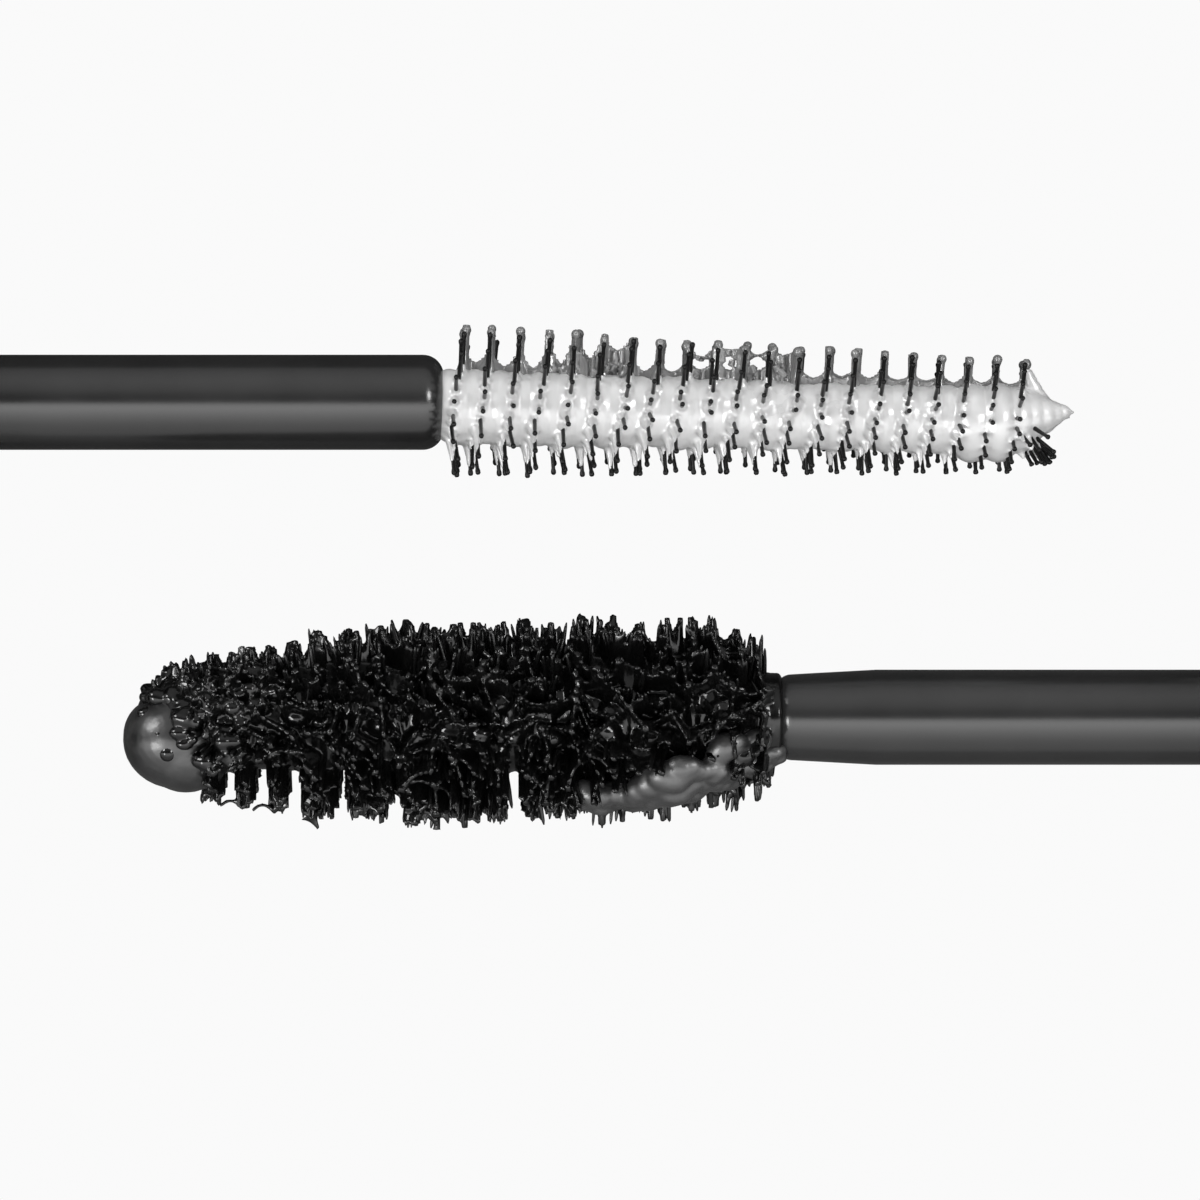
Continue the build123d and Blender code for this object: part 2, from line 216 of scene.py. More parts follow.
fade = math_node(tree, "MULTIPLY_ADD", spot_parts.outputs["Y"], TABLE_FADE, 0.5)
wire(tree, ramp(tree, fade, [(0.4, 0.0), (0.55, 0.06), (0.8, 0.3)]), lit.inputs["Color"])
wire(tree, lit.outputs[0], both.inputs[0])
wire(tree, sheet.outputs[0], both.inputs[1])
wire(tree, seen.outputs["Is Camera Ray"], mixed.inputs[0])
wire(tree, both.outputs[0], mixed.inputs[1])
wire(tree, glow.outputs[0], mixed.inputs[2])
wire(tree, mixed.outputs[0], table_out.inputs["Surface"])
table.data.materials.append(surface)
print("table, m:", TABLE_SIZE)

# %% [markdown]
# Plastics, metals and rubber differ mostly in their finest surface. Three effects are shared by
# many materials here, so each is a node group: a grain, which gives moulded plastic its satin;
# turning marks, the fine rings that a lathe or a polish leaves round a part; and smudges, the soft
# uneven patches of handling that break a gloss. The groups give plain numbers, and every material
# feeds them to its own shader.


# %% Node group helpers
NUMBER = "NodeSocketFloat"


def new_group(name, inputs, outputs):
    """A group with number inputs, given as (name, value), and number outputs."""
    group = bpy.data.node_groups.new(name, "ShaderNodeTree")
    for label, value in inputs:
        socket = group.interface.new_socket(name=label, in_out="INPUT", socket_type=NUMBER)
        socket.default_value = value
    for label in outputs:
        group.interface.new_socket(name=label, in_out="OUTPUT", socket_type=NUMBER)
    return group, node(group, "NodeGroupInput"), node(group, "NodeGroupOutput")


def noise_at(tree, vector, scale, detail=2.0, roughness=0.5):
    """Object-space noise; scale is a number or a socket."""
    made = node(tree, "ShaderNodeTexNoise", Detail=detail, Roughness=roughness)
    wire(tree, vector, made.inputs["Vector"])
    if isinstance(scale, (int, float)):
        made.inputs["Scale"].default_value = scale
    else:
        wire(tree, scale, made.inputs["Scale"])
    return made.outputs["Fac"]


def object_place(tree):
    return node(tree, "ShaderNodeTexCoord").outputs["Object"]


# %% Shared effects
grain, grain_in, grain_out = new_group(
    "satin_grain", [("Size", 9000.0), ("Depth", 1.0)], ["Height"]
)
fine = noise_at(grain, object_place(grain), grain_in.outputs["Size"], 3.0, 0.7)
wire(grain, math_node(grain, "MULTIPLY", fine, grain_in.outputs["Depth"]), grain_out.inputs[0])

smudge, smudge_in, smudge_out = new_group("smudges", [("Size", 220.0), ("Amount", 1.0)], ["Mask"])
cloud = noise_at(smudge, object_place(smudge), smudge_in.outputs["Size"], 4.0, 0.6)
spread = math_node(smudge, "MULTIPLY_ADD", cloud, 2.4, -0.7)
patch_mask = math_node(smudge, "MULTIPLY", spread, smudge_in.outputs["Amount"])
wire(smudge, patch_mask, smudge_out.inputs[0])

marks, marks_in, marks_out = new_group(
    "turning_marks", [("Pitch", 60000.0), ("Depth", 1.0)], ["Height"]
)
marks_place = node(marks, "ShaderNodeMapping")
marks_place.inputs["Scale"].default_value = (1.0, 0.02, 0.02)
wire(marks, object_place(marks), marks_place.inputs["Vector"])
lines = noise_at(marks, marks_place.outputs[0], marks_in.outputs["Pitch"], 1.0, 0.5)
wire(marks, math_node(marks, "MULTIPLY", lines, marks_in.outputs["Depth"]), marks_out.inputs[0])
print("shared effects:", [g.name for g in (grain, smudge, marks)])


# %% [markdown]
# Every finish here is the same recipe with other numbers: one Principled shader, whose colour and
# roughness drift a little under the smudges and whose normal takes a bump from the grain or the
# marks. A function builds it, so that each finish is one line that reads like a label. What is the
# same all over a surface, such as metal, coat or index of refraction, is set on the shader itself.


# %% Material builder
def use_group(tree, group, **values):
    made = tree.nodes.new("ShaderNodeGroup")
    made.node_tree = group
    for label, value in values.items():
        made.inputs[label].default_value = value
    return made


def finish(name, color, rough, rough_swing=0.1, bump=0.2, bump_size=0.00002, effect=grain,
           effect_values=None, metallic=0.0, coat=0.0, coat_rough=0.1, ior=1.5,
           transmission=0.0, subsurface=0.0, swing=0.15, smudge_size=220.0):
    """A Principled finish with one bump effect, and smudges in its roughness and colour."""
    material = bpy.data.materials.new(name)
    material.use_nodes = True
    tree = material.node_tree
    shader = tree.nodes["Principled BSDF"]
    for label, value in (
        ("Metallic", metallic), ("IOR", ior), ("Coat Weight", coat),
        ("Coat Roughness", coat_rough), ("Transmission Weight", transmission),
        ("Subsurface Weight", subsurface), ("Subsurface Radius", (MM, MM, MM)),
        ("Subsurface Scale", 0.4),
    ):
        shader.inputs[label].default_value = value
    patches = use_group(tree, smudge, Size=smudge_size)
    rough_value = math_node(tree, "MULTIPLY_ADD", patches.outputs[0], rough_swing,
                            rough - rough_swing / 2)
    wire(tree, rough_value, shader.inputs["Roughness"])
    tint = node(tree, "ShaderNodeMix", data_type="RGBA")
    tint.inputs["A"].default_value = (*[c * (1 - swing) for c in color], 1)
    tint.inputs["B"].default_value = (*[min(1, c * (1 + swing)) for c in color], 1)
    wire(tree, patches.outputs[0], tint.inputs["Factor"])
    wire(tree, tint.outputs["Result"], shader.inputs["Base Color"])
    made = use_group(tree, effect, **(effect_values or {}))
    height = node(tree, "ShaderNodeBump", Strength=bump, Distance=bump_size)
    wire(tree, made.outputs["Height"], height.inputs["Height"])
    wire(tree, height.outputs[0], shader.inputs["Normal"])
    return material


# %% [markdown]
# The finishes, from the outside in. The stems are black plastic with the fine satin of a sparked
# mould. Casings are glossier, one pearl and one black, the trims are satin anodised aluminium with
# turning marks, and the bottles are milky plastic that lets a little light in.

# %% Finishes of the hard parts
stem_black = finish("stem_black_satin", (0.012, 0.012, 0.012), 0.22, 0.05, 0.35, 0.000006,
                    effect_values={"Size": 16000.0}, swing=0.2)
pearl = finish("casing_pearl", (0.44, 0.44, 0.45), 0.28, 0.04, 0.12, 0.000004, coat=0.5,
               coat_rough=0.06, swing=0.01, smudge_size=90.0)
ink = finish("casing_black", (0.012, 0.012, 0.013), 0.3, 0.08, 0.12, 0.000004, coat=0.5,
             coat_rough=0.05)
silver = finish("trim_silver", (0.8, 0.8, 0.81), 0.22, 0.06, 0.3, 0.000004, effect=marks,
                metallic=1.0, swing=0.04)
milky = finish("bottle_milky", (0.68, 0.68, 0.66), 0.35, 0.08, 0.15, 0.00001,
               transmission=0.25, subsurface=0.2, swing=0.04)
wiper_soft = finish("wiper_soft", (0.5, 0.5, 0.49), 0.5, 0.1, 0.3, 0.00001, swing=0.08)
gasket_white = finish("gasket_foam", (0.78, 0.78, 0.76), 0.75, 0.1, 0.6, 0.00003,
                      effect_values={"Size": 7000.0}, swing=0.06)
liner_black = finish("liner_black", (0.03, 0.03, 0.03), 0.45, 0.1, 0.3, 0.00001)
wire_steel = finish("core_wire", (0.5, 0.5, 0.51), 0.3, 0.1, 0.3, 0.000006, effect=marks,
                    metallic=1.0)
NODE_FINISH = {
    "primer_casing": pearl, "primer_cap_shell": pearl, "primer_base_plug": pearl,
    "mascara_casing": ink, "mascara_cap_shell": ink, "mascara_base_socket": ink,
    "primer_centre_band": silver, "mascara_wire": wire_steel,
}
SHARED_FINISH = {
    "bottle": milky, "shoulder_ring": silver, "cap_end": silver, "wiper": wiper_soft,
    "gasket": gasket_white, "cap_liner": liner_black, "stem": stem_black,
}
for half in ("primer", "mascara"):
    NODE_FINISH.update({f"{half}_{part}": finished for part, finished in SHARED_FINISH.items()})
for name, material in NODE_FINISH.items():
    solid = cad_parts[name]
    solid.data.materials.clear()
    solid.data.materials.append(material)
print("CAD nodes finished:", len(NODE_FINISH))

# %% [markdown]
# A brush is one small shape repeated hundreds of times, so each shape is modelled once, as a
# template in millimetres, and copies of it are laid round the brush. Blender's tools stop at
# about a tenth of a millimetre when one unit is a metre, so the templates and the wet coats are
# made a thousand times too large and brought down to size at the end.


# %% Selecting and editing
def only(obj):
    """Select just this object and make it active."""
    bpy.ops.object.select_all(action="DESELECT")
    obj.select_set(True)
    bpy.context.view_layer.objects.active = obj


def pick(obj, keep, kind="FACE"):
    """In edit mode, select the elements of obj for which keep(element) is true."""
    bpy.ops.mesh.select_mode(type=kind)
    bpy.ops.mesh.select_all(action="DESELECT")
    bm = bmesh.from_edit_mesh(obj.data)
    for element in {"FACE": bm.faces, "EDGE": bm.edges, "VERT": bm.verts}[kind]:
        if keep(element):
            element.select_set(True)
    bm.select_flush_mode()
    bmesh.update_edit_mesh(obj.data)


def start_edit(obj):
    only(obj)
    bpy.ops.object.mode_set(mode="EDIT")


def as_template(obj, name):
    """Leave edit mode and keep only the finished mesh, with its place in its points."""
    bpy.ops.object.mode_set(mode="OBJECT")
    mesh = obj.data
    mesh.transform(obj.matrix_world)
    mesh.name = name
    bpy.data.objects.remove(obj)
    print(f"{name}: {len(mesh.polygons)} faces")
    return mesh


# %% Two kinds of template
def pin_template(name, radii, sides=8):
    """A round pin of unit length along Z with the radii given as (height, radius)."""
    bpy.ops.object.select_all(action="DESELECT")
    bpy.ops.mesh.primitive_cylinder_add(vertices=sides, radius=radii[0][1], depth=0.02,
                                        location=(0, 0, 0.01))
    pin = bpy.context.object
    bpy.ops.object.transform_apply(location=True)
    start_edit(pin)
    height, radius = 0.02, radii[0][1]
    for next_height, next_radius in radii[1:]:
        pick(pin, lambda f: f.normal.z > 0.9 and f.calc_center_median().z > height - 1e-4)
        bpy.ops.mesh.extrude_region_move(
            TRANSFORM_OT_translate={"value": (0, 0, next_height - height)})
        grow = next_radius / radius
        bpy.ops.transform.resize(value=(grow, grow, 1))
        height, radius = next_height, next_radius
    return as_template(pin, name)


def ball_template(name, rings=8, sides=12):
    bpy.ops.object.select_all(action="DESELECT")
    bpy.ops.mesh.primitive_uv_sphere_add(segments=sides, ring_count=rings, radius=1)
    ball = bpy.context.object
    start_edit(ball)
    bpy.ops.mesh.vertices_smooth(factor=0.05)
    return as_template(ball, name)


# %% Placing copies
def aim(place, direction, length, width, depth=None, roll=0.0):
    """Place a unit template: its foot at place, its Z along direction, scaled to size."""
    turn = direction.to_track_quat("Z", "Y").to_matrix().to_4x4()
    spin = Matrix.Rotation(roll, 4, "Z")
    size = Matrix.Diagonal((width, width if depth is None else depth, length, 1))
    return Matrix.Translation(place) @ turn @ spin @ size


def egg(ball, centre, long, across, up=None):
    """A copy of a ball template, stretched along X, across Y and up Z."""
    size = Matrix.Diagonal((long, across, across if up is None else up, 1))
    return ball, Matrix.Translation(centre) @ size


def lay_out(name, copies):
    """One object of many template copies; copies holds (template, matrix) pairs."""
    points, faces, first = [], [], 0
    cached = {}
    for template, matrix in copies:
        if template.name not in cached:
            flat = np.empty(len(template.vertices) * 3)
            template.vertices.foreach_get("co", flat)
            polygons = [list(p.vertices) for p in template.polygons]
            cached[template.name] = (flat.reshape(-1, 3), polygons)
        rest, polygons = cached[template.name]
        m = np.array(matrix)
        points.append(rest @ m[:3, :3].T + m[:3, 3])
        faces.extend([[v + first for v in polygon] for polygon in polygons])
        first += len(rest)
    mesh = bpy.data.meshes.new(name)
    mesh.from_pydata(np.concatenate(points).tolist(), [], faces)
    made = bpy.data.objects.new(name, mesh)
    bpy.context.scene.collection.objects.link(made)
    return made


def run_modifier(obj, kind, **settings):
    only(obj)
    modifier = obj.modifiers.new(kind.lower(), kind)
    for key, value in settings.items():
        setattr(modifier, key, value)
    bpy.ops.object.modifier_apply(modifier=modifier.name)


# %% Melting and settling
TRIANGLE_LIMIT = 185000
CRUMB = 400  # vertices; a shell with fewer is loose


def melt(obj, voxel, smoothing):
    """Join overlapping closed shapes into one wet skin, without loose crumbs."""
    run_modifier(obj, "REMESH", mode="VOXEL", voxel_size=voxel, adaptivity=0.0)
    drop_crumbs(obj)
    run_modifier(obj, "SMOOTH", factor=0.5, iterations=smoothing)
    triangles = 2 * len(obj.data.polygons)
    if triangles > TRIANGLE_LIMIT:
        run_modifier(obj, "DECIMATE", ratio=TRIANGLE_LIMIT / triangles)


def drop_crumbs(obj):
    """Delete the small shells that hang free of the rest."""
    bm = bmesh.new()
    bm.from_mesh(obj.data)
    seen, loose = set(), []
    for start in bm.verts:
        if start in seen:
            continue
        shell, front = {start}, [start]
        while front:
            for edge in front.pop().link_edges:
                for vert in edge.verts:
                    if vert not in shell:
                        shell.add(vert)
                        front.append(vert)
        seen |= shell
        if len(shell) < CRUMB:
            loose.extend(shell)
    bmesh.ops.delete(bm, geom=loose, context="VERTS")
    bm.to_mesh(obj.data)
    bm.free()


def settle(obj, material, body, replaced=()):
    """Bring a finished piece to metres, give it its finish and let it ride on its body."""
    obj.data.transform(Matrix.Scale(MM, 4))
    obj.data.materials.clear()
    obj.data.materials.append(material)
    only(obj)
    bpy.ops.object.shade_smooth()
    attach(obj, body)
    if replaced:
        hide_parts(*replaced)
    triangles = sum(len(p.vertices) - 2 for p in obj.data.polygons)
    print(f"{obj.name}: {triangles} triangles")


def mix(a, b, t):
    return a + (b - a) * t


def steps(count):
    """Even steps from 0 to 1."""
    return [i / (count - 1) for i in range(count)]


# %% Templates of the primer brush
spike_pin = pin_template(
    "spike_pin", [(0, 1.0), (0.4, 0.86), (0.88, 0.74), (0.93, 1.0), (0.975, 1.0), (1.0, 0.6)]
)
wet_cone = pin_template(
    "wet_cone", [(0, 1.0), (0.2, 0.62), (0.45, 0.36), (0.75, 0.22), (1.0, 0.16)], 10
)
round_ball = ball_template("round_ball")
drop_ball = ball_template("drop_ball", 20, 32)
web_slab = pin_template("web_slab", [(0, 0.7071), (1.0, 0.7071)], 4)

# %% [markdown]
# The primer brush is moulded in one shot: a tapering core with rings of round spikes, every other
# ring turned half a step. In use the spikes lean and clump, so each copy gets its own small lean
# and turn. The random numbers are seeded, and the list of spikes is kept, because the primer
# gathers round the same spikes.

# %% Where the primer spikes stand
random.seed(21)
PRIMER_LENGTH = 27.6
RINGS = 21
RING_PITCH = 1.218
FIRST_RING = 0.52
ROUND = 20
SPIKE_REACH = (3.36, 2.55)
SPIKE_ROOT = 0.8
SPIKE_R = 0.112
NEAR_SKEW = -0.62  # how far a ring slants back per quarter turn, on its near half
FAR_SKEW = 0.3
UNTIDY = range(7, 13)  # the rings that use has bent most
UNTIDY_SHARE = 2.2


def near_side(side):
    """How far a side (degrees) faces -Y: 1 straight that way, 0 on the whole other half."""
    return max(0.0, math.sin(math.radians(side)))


def far_side(side):
    """How far a side faces +Y."""
    return max(0.0, -math.sin(math.radians(side)))


def ring_skew(side):
    """How far along the brush a spike stands from its ring's place."""
    turned = (side % 360) / 90
    if turned < 2:
        return NEAR_SKEW * turned
    if turned < 2.4:
        return mix(2 * NEAR_SKEW, FAR_SKEW, (turned - 2) / 0.4)
    return FAR_SKEW * min(1.0, 4 - turned)


spikes = []
for ring in range(RINGS):
    t = ring / (RINGS - 1)
    phase = 0.5 * (ring % 2) + random.uniform(-0.12, 0.12)
    for k in range(ROUND):
        untidy = UNTIDY_SHARE if ring in UNTIDY else 1.0
        side = 270 + (k + phase) * 360 / ROUND + random.uniform(-2.4, 2.4) * untidy
        s = FIRST_RING + ring * RING_PITCH + ring_skew(side) + random.uniform(-0.05, 0.05) * untidy
        low = near_side(side)
        lean = math.radians(random.uniform(0, 4) + 6 * low + random.uniform(-5, 5) * low)
        reach = mix(*SPIKE_REACH, t) * random.uniform(0.955, 1.01)
        direction = primer.out(side) * math.cos(lean) + primer.along * math.sin(lean)
        spikes.append({"ring": ring, "s": max(0.3, s), "side": side % 360, "reach": reach,
                       "direction": direction.normalized()})
END_SPIKES = range(24, 132, 9)
for side in END_SPIKES:  # the splayed spikes of the brush's end
    lean = math.radians(random.uniform(20, 50))
    direction = primer.out(side) * math.cos(lean) + primer.along * math.sin(lean)
    spikes.append({"ring": -1, "s": 25.2 + random.uniform(-0.6, 0.45), "side": side,
                   "reach": random.uniform(2.2, 2.5), "direction": direction})
print("primer spikes:", len(spikes))

# %% The spikes and their core
CORE_END = 25.4
CORE_LENGTH = 25.2
copies = []
for spike in spikes:
    root = primer.at(spike["s"], SPIKE_ROOT, spike["side"])
    length = spike["reach"] - SPIKE_ROOT
    copies.append((spike_pin, aim(root, spike["direction"], length, SPIKE_R)))
copies.append((wet_cone, aim(primer.at(CORE_END), -primer.along, CORE_LENGTH, SPIKE_ROOT)))
primer_spikes = lay_out("primer_spikes", copies)
spike_black = finish("spike_black", (0.003, 0.003, 0.003), 0.34, 0.1, 0.2, 0.000004, ior=1.25)
settle(primer_spikes, spike_black, "primer_wand", ["primer_brush"])

# %% [markdown]
# Primer is a white cream. It fills the brush round the core, climbs each spike a little way in a
# concave collar, hangs thicker on the lower side, and ends in a drop that was drawn out to a
# thread as the brush left the bottle. All of that is one wet skin: balls for the body, a flared
# cone at each spike, a few large balls for the drop, melted together with a voxel remesh and
# smoothed, which rounds every meeting of two shapes the way surface tension does.

# %% The body and collars of primer
BODY_STEPS = 44
BODY_FLAT = 0.86
COLLAR_FOOT = 1.1
copies = []
for share in steps(BODY_STEPS):
    s = mix(0.25, 24.2, share)
    t = s / PRIMER_LENGTH
    r = mix(1.66, 1.42, t) * random.uniform(0.95, 1.05)
    sag = mix(0.2, 0.14, t) * random.uniform(0.7, 1.3)
    centre = primer.at(s, sag, 90) + Vector((0, 0, random.uniform(-0.05, 0.05)))
    copies.append(egg(drop_ball, centre, 0.9, r, r * BODY_FLAT))
for spike in spikes:
    low = near_side(spike["side"])
    bare = random.uniform(0.25, 0.9) if low > 0.5 else random.uniform(0.8, 1.3)
    climb = spike["reach"] - COLLAR_FOOT - bare
    if low < 0.6:
        climb = min(climb, 0.55 + random.uniform(0.25, 0.5) * (1 - 0.4 * far_side(spike["side"])))
    width = random.uniform(0.4, 0.58) + 0.12 * low
    foot = primer.at(spike["s"], COLLAR_FOOT, spike["side"])
    copies.append((wet_cone, aim(foot, spike["direction"], climb, width)))
print("body and collars:", len(copies), "copies")

# %% The drop of primer and its point
DROP = (  # (along, across, up, size along, size across)
    (23.0, 0.3, 0.0, 1.3, 1.75), (24.1, 0.25, 0.1, 1.2, 1.75), (24.9, 0.1, 0.1, 1.1, 1.45),
    (25.3, -0.02, 0.1, 1.1, 1.2), (25.8, -0.1, 0.1, 1.0, 0.9), (26.25, -0.18, 0.1, 0.8, 0.62),
    (26.7, -0.27, 0.1, 0.6, 0.38),
)
for s, across, up, size_s, size_r in DROP:
    centre = primer.at(s, across, 90) + Vector((0, 0, up))
    copies.append(egg(drop_ball, centre, size_s, size_r))
SKIRT_STEPS = 16
SKIRT_SAG = 0.25
for t in steps(SKIRT_STEPS):  # the skirt from the last far spike down to the point
    s = mix(25.35, 27.1, t)
    top = mix(2.1, 0.0, t) - SKIRT_SAG * math.sin(math.pi * t)
    sunk = 0.3 * (1 - t)
    place = primer.at(s, sunk, 90)
    copies.append((web_slab, aim(place, primer.out(270), top + sunk, 0.34, mix(0.5, 0.2, t))))
tip = primer.at(26.2, -0.3, 90) + Vector((0, 0, 0.1))
strand = (primer.along * 1.35 + primer.across * 0.02).normalized()
copies.append((wet_cone, aim(tip, strand, 1.25, 0.5)))
primer_cream = lay_out("primer_cream", copies)
melt(primer_cream, 0.07, 7)
cream_white = finish("primer_white", (0.46, 0.46, 0.46), 0.3, 0.06, 0.2, 0.00006,
                     effect_values={"Size": 900.0}, swing=0.04, subsurface=0.15, coat=1.0,
                     coat_rough=0.3, ior=1.7)
settle(primer_cream, cream_white, "primer_wand", ["primer_coat"])

# %% [markdown]
# On the far side the primer stands between the spikes as thin films. A film hangs from spike to
# spike in a sagging curve, like a chain, and some gaps are clogged to the tips, with a window left
# in the middle. The films are the same white primer as the body, but their colour is painted grey:
# part of that is the little light that thin primer sends back, and the rest is painted shade for
# the far side, which faces away from the tent's bright near wall. The films are rows of thin slabs
# whose heights follow the sag, melted together like the body.

# %% Where the films hang
random.seed(5)
FILM_LOW = 1.42  # reach of a film at its lowest
FILM_ROOT = 0.8
CLOGGED = {3: 1.9, 4: 2.3, 5: 2.75, 8: 2.4, 9: 2.85, 10: 2.8, 11: 2.6}  # ring: lowest reach
WINDOWED = {8, 9, 10}
WINDOW_REACH = 2.05
STRANDS = 9
STRAND_WIDE = 0.2
FILM_THICK = 0.1
PER_RING = 2


def far_spikes(lowest):
    """For each ring, its spikes on the far side, from the farthest down."""
    rings = {}
    for spike in spikes:
        if spike["ring"] >= 0 and far_side(spike["side"]) > lowest:
            rings.setdefault(spike["ring"], []).append(spike)
    return [sorted(rings[ring], key=lambda each: -far_side(each["side"]))[:PER_RING]
            for ring in range(RINGS)]


far_rings = far_spikes(0.93)
print("far spikes:", sum(len(found) for found in far_rings))


# %% The films between the far spikes
def wet_spike(spike):
    """Primer along a far spike, thicker at its foot, with a bead near its tip."""
    length = spike["reach"] - 0.9
    wet = random.uniform(0.13, 0.19)
    foot = primer.at(spike["s"], 0.95, spike["side"])
    copies.append((wet_cone, aim(foot, spike["direction"], length * 0.8, wet * 3.0)))
    copies.append((web_slab, aim(foot, spike["direction"], length, wet * 1.5)))
    bead = foot + spike["direction"] * (length - random.uniform(0.05, 0.3))
    size = random.uniform(0.15, 0.24)
    copies.append(egg(round_ball, bead, size, size, size * 1.4))


def hang_film(ring, first, second):
    """A film from one far spike to the next, as a row of slabs whose tops sag."""
    clog = CLOGGED.get(ring)
    if clog:
        low, share, curve = clog * random.uniform(0.85, 1.0), 0.97, 1.6
    else:
        low = FILM_LOW * mix(1.18, 0.96, ring / RINGS) * random.uniform(0.96, 1.08)
        share, curve = random.uniform(0.6, 0.78), 1.8
    high = mix(first["reach"], second["reach"], 0.5) * share
    for t in steps(STRANDS + 1):
        sag = abs(2 * t - 1) ** curve
        top = max(low, mix(low, high, sag))
        s = mix(first["s"], second["s"], t)
        side = mix(first["side"], second["side"], t) + (random.gauss(0, 3.5) if clog else 0)
        spans = [(FILM_ROOT, top)]
        if ring in WINDOWED and 0.2 < t < 0.8:
            half_open = 0.3 * math.sqrt(1 - ((t - 0.5) / 0.32) ** 2)
            spans = [(FILM_ROOT, WINDOW_REACH - half_open), (WINDOW_REACH + half_open, top)]
        for inner, outer in spans:
            strand = aim(primer.at(s, inner, side), primer.out(side), outer - inner, STRAND_WIDE,
                         FILM_THICK)
            copies.append((web_slab, strand))


copies = []
for ring, found in enumerate(far_rings):
    for spike in found:
        wet_spike(spike)
    if ring + 1 < RINGS:
        for first, second in zip(found, far_rings[ring + 1]):
            hang_film(ring, first, second)
CRUMPLES = 34
for i in range(CRUMPLES):
    ring = random.choice((3, 4, 5, 5, 8, 9, 10, 11))
    s = FIRST_RING + ring * RING_PITCH + 0.3 + random.uniform(0.0, RING_PITCH)
    side = 270 + random.uniform(-12, 26)
    place = primer.at(s, random.uniform(1.3, CLOGGED[ring] - 0.5), side)
    tilt = primer.out(side) + primer.along * random.uniform(-0.9, 0.9)
    copies.append((web_slab, aim(place, tilt.normalized(), random.uniform(0.2, 0.5), 0.26, 0.12)))
primer_film = lay_out("primer_film", copies)
melt(primer_film, 0.045, 4)
# The films' grey is partly painted shade: the white primer made darker for the far side, which
# faces away from the bright near wall.
shaded_film_grey = finish("primer_film_painted_shade", (0.15, 0.15, 0.15), 0.2, 0.1, 0.6, 0.00008,
                   effect_values={"Size": 1500.0}, swing=0.35, smudge_size=900.0, coat=0.6,
                   coat_rough=0.08)
settle(primer_film, shaded_film_grey, "primer_wand")

# %% [markdown]
# The mascara brush is a bullet of nylon fibres held in twisted wire. Mascara clumps the fibres
# into blunt tufts and hangs between the tufts as a net of thin ridges round deep, dark pits. It
# could be sculpted, but a layout by rule stays even over the whole brush and can be changed in one
# place. So the tufts are laid on a jittered net, each with its own lean, length and thickness, and
# the net is kept as a list, because ridges and fibre ends follow it.

# %% Templates of the mascara brush
tuft_cone = pin_template(
    "tuft_cone", [(0, 1.0), (0.35, 0.8), (0.7, 0.62), (0.9, 0.46), (0.97, 0.3), (1.0, 0.1)], 7
)
fibre_pin = pin_template("fibre_pin", [(0, 1.0), (0.6, 0.9), (0.92, 0.6), (1.0, 0.25)], 5)

# %% Where the tufts stand
random.seed(77)
BRUSH_LENGTH = 28.3
FULL_REACH = 4.78
SHOULDER = 3.2
NOSE_START = 15.5
ROW_PITCH = 1.02
TUFTS_ROUND = 24
ROWS = 25
# gaps wiped clean through on the near side: (place along the brush, width)
WINDOWS = ((25.05, 0.35), (23.7, 0.35), (22.3, 0.4), (20.9, 0.5), (18.8, 0.3), (16.7, 0.25),
           (11.4, 0.45))
# deep gaps between the tufts of the far side
FAR_GAPS = ((23.9, 0.25), (22.3, 0.3), (20.4, 0.35), (19.1, 0.45), (17.8, 0.2), (15.4, 0.3),
            (13.3, 0.15), (11.3, 0.4), (7.8, 0.2), (4.3, 0.15))
GAP_REACH = 4.4  # how far out a tuft shows in a gap


def bullet(s):
    """Reach of the brush at s mm from the stem."""
    if s < SHOULDER:
        return FULL_REACH * mix(0.68, 1.0, math.sin(math.pi / 2 * s / SHOULDER))
    if s < NOSE_START:
        return FULL_REACH
    t = (s - NOSE_START) / (BRUSH_LENGTH - NOSE_START)
    return FULL_REACH * (1 - 0.42 * t ** 1.25)


def body_reach(s):
    """Radius of the wet mass under the tufts."""
    if s < 2.5:
        return mix(2.0, 2.5, s / 2.5)
    if s < NOSE_START:
        return 2.5
    return mix(2.5, 2.0, (s - NOSE_START) / (BRUSH_LENGTH - NOSE_START))


def in_fold(s, side):
    """Whether a place lies under the thick folds of mascara near the stem."""
    return 0.2 < s < 8.4 and 20 + 6 * abs(s - 2.5) < side < 88


def gap_at(s, side, spare=0.0):
    """The gap in which something at that place would show, or None."""
    across = GAP_REACH * math.sin(math.radians(side))
    gaps = WINDOWS if across > 1.9 else FAR_GAPS if across < -3.1 else ()
    for place, width in gaps:
        if abs(s - place) < width / 2 + spare:
            return place, width
    return None


# %% The net of tufts
net = {}
for row in range(ROWS):
    shift = random.uniform(-0.22, 0.22)
    for k in range(TUFTS_ROUND):
        s = 0.6 + row * ROW_PITCH + random.uniform(-0.36, 0.36)
        side = ((k + 0.5 * (row % 2)) * 360 / TUFTS_ROUND + random.uniform(-6, 6)) % 360
        if 225 < side < 315:
            s = 0.6 + row * ROW_PITCH + shift + random.uniform(-0.1, 0.1)
        gap = gap_at(s, side, spare=0.3)
        if gap:
            s = gap[0] + math.copysign(gap[1] / 2 + 0.4, s - gap[0])
        if s > 25.2 and (side < 200 or side > 330):
            continue
        lean = math.radians(random.gauss(0, 6) + 10 * max(0, s - 18) / 8)
        reach = bullet(s) * random.uniform(0.88, 1.0)
        if 235 < side < 305:
            reach *= random.uniform(0.97, 1.03)
            if s > 25:
                reach *= 0.9
        if in_fold(s, side):
            reach = min(reach, 3.5)
        outward = mascara.out(side + random.gauss(0, 5))
        aimed = outward * math.cos(lean) + mascara.along * math.sin(lean)
        net[row, k] = {"s": s, "side": side, "reach": reach, "direction": aimed.normalized()}
print("mascara tufts:", len(net))

